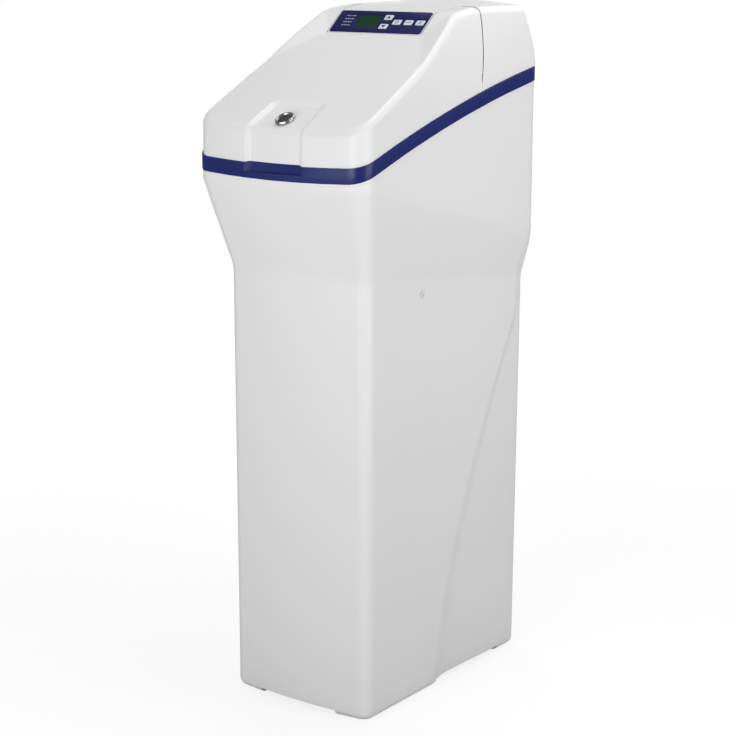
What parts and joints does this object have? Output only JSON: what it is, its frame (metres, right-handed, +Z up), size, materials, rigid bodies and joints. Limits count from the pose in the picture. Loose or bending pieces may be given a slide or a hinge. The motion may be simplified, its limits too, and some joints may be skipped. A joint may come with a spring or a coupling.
{
  "type": "cabinet water softener",
  "caption": "White cabinet water softener with a flared body, navy collar, hinged salt lid with cam lock, and a rear control panel with sprung keys.",
  "frame": {"origin": "on the floor under the middle of the whole object, spigots included", "axes": "+Z up, -Y towards the front with the lock, +X to the right of the control panel as its user sees it"},
  "size_m": [0.325, 0.5236, 1.1094],
  "materials": {
    "white_moulding": "fine satin moulding",
    "navy_moulding": "satin moulding",
    "facia_film": "smooth film",
    "display_glass": "clear polished window over a green display",
    "key_plastic": "satin",
    "chrome": "polished",
    "steel": "zinc plated",
    "dark_plastic": "glass-filled moulding",
    "board_green": "solder mask",
    "vessel_blue": "wound glass fibre",
    "resin_amber": "packed beads",
    "seal_rubber": "matte",
    "natural_plastic": "natural moulding",
    "float_orange": "foamed moulding"
  },
  "bodies": {
    "softener": {"cabinet": "white_moulding", "side_plugs": "white_moulding", "collar": "navy_moulding", "rear_cover": "white_moulding", "hinge_pins": "steel", "cover_screws": "steel", "power_socket": "dark_plastic", "control_panel": "facia_film", "display_window": "display_glass", "display_module": "board_green", "circuit_board": "board_green", "panel_screws": "steel", "lock_strike": "steel", "strike_screws": "steel", "resin_vessel": "vessel_blue", "vessel_boot": "dark_plastic", "resin_bed": "resin_amber", "riser_tube": "natural_plastic", "lower_strainer": "natural_plastic", "upper_strainer": "natural_plastic", "tank_seal": "seal_rubber", "valve_body": "dark_plastic", "fixed_disc": "natural_plastic", "valve_head": "dark_plastic", "head_screws": "steel", "drive_plate": "natural_plastic", "drive_motor": "steel", "drive_cover": "dark_plastic", "drive_screws": "steel", "inlet_connector": "natural_plastic", "outlet_connector": "natural_plastic", "port_nuts": "natural_plastic", "drain_barb": "natural_plastic", "brine_elbow": "natural_plastic", "brine_line": "natural_plastic", "brine_well": "natural_plastic", "brine_well_cap": "natural_plastic", "brine_valve": "natural_plastic", "brine_riser": "natural_plastic", "salt_grid": "natural_plastic", "overflow_elbow": "natural_plastic", "overflow_nut": "natural_plastic"},
    "lid": {"salt_lid": "white_moulding", "lock_bezel": "chrome", "lock_nut": "steel"},
    "lock": {"lock_barrel": "dark_plastic", "lock_cam": "steel"},
    "up_key": {"key_up": "key_plastic"},
    "down_key": {"key_down": "key_plastic"},
    "left_key": {"key_left": "key_plastic"},
    "middle_key": {"key_middle": "key_plastic"},
    "right_key": {"key_right": "key_plastic"},
    "valve_drive": {"drive_gear": "natural_plastic", "rotor_disc": "dark_plastic"},
    "pinion": {"motor_pinion": "natural_plastic"},
    "turbine": {"meter_turbine": "natural_plastic"},
    "float": {"float_rod": "steel", "safety_float": "float_orange"}
  },
  "joints": [
    {"name": "lid_hinge", "type": "hinge", "parent": "softener", "child": "lid", "pos_m": [0, 0.08532, 1.09404], "axis": [-1, 0, 0], "range_deg": [0, 70]},
    {"name": "lock_turn", "type": "hinge", "parent": "lid", "child": "lock", "pos_m": [0, -0.22796, 0.94191], "axis": [0, 0.4579, -0.889], "range_deg": [0, 90]},
    {"name": "up_key_press", "type": "slide", "parent": "softener", "child": "up_key", "axis": [0, 0.6481, -0.7615], "range_m": [0, 0.0008], "stiffness_N_per_m": 900},
    {"name": "down_key_press", "type": "slide", "parent": "softener", "child": "down_key", "axis": [0, 0.6481, -0.7615], "range_m": [0, 0.0008], "stiffness_N_per_m": 900},
    {"name": "left_key_press", "type": "slide", "parent": "softener", "child": "left_key", "axis": [0, 0.6481, -0.7615], "range_m": [0, 0.0008], "stiffness_N_per_m": 900},
    {"name": "middle_key_press", "type": "slide", "parent": "softener", "child": "middle_key", "axis": [0, 0.6481, -0.7615], "range_m": [0, 0.0008], "stiffness_N_per_m": 900},
    {"name": "right_key_press", "type": "slide", "parent": "softener", "child": "right_key", "axis": [0, 0.6481, -0.7615], "range_m": [0, 0.0008], "stiffness_N_per_m": 900},
    {"name": "valve_turn", "type": "hinge", "parent": "softener", "child": "valve_drive", "pos_m": [0, 0.12075, 0.93], "axis": [0, 0, 1], "continuous": true},
    {"name": "pinion_turn", "type": "hinge", "parent": "softener", "child": "pinion", "pos_m": [0.075, 0.12075, 0.93], "axis": [0, 0, 1], "continuous": true},
    {"name": "turbine_turn", "type": "hinge", "parent": "softener", "child": "turbine", "pos_m": [0.028, 0.23575, 0.93], "axis": [0, 1, 0], "continuous": true},
    {"name": "float_rise", "type": "slide", "parent": "softener", "child": "float", "axis": [0, 0, 1], "range_m": [0, 0.018]}
  ],
  "couplings": [
    {"joint": "pinion_turn", "follows": "valve_turn", "ratio": -4}
  ]
}
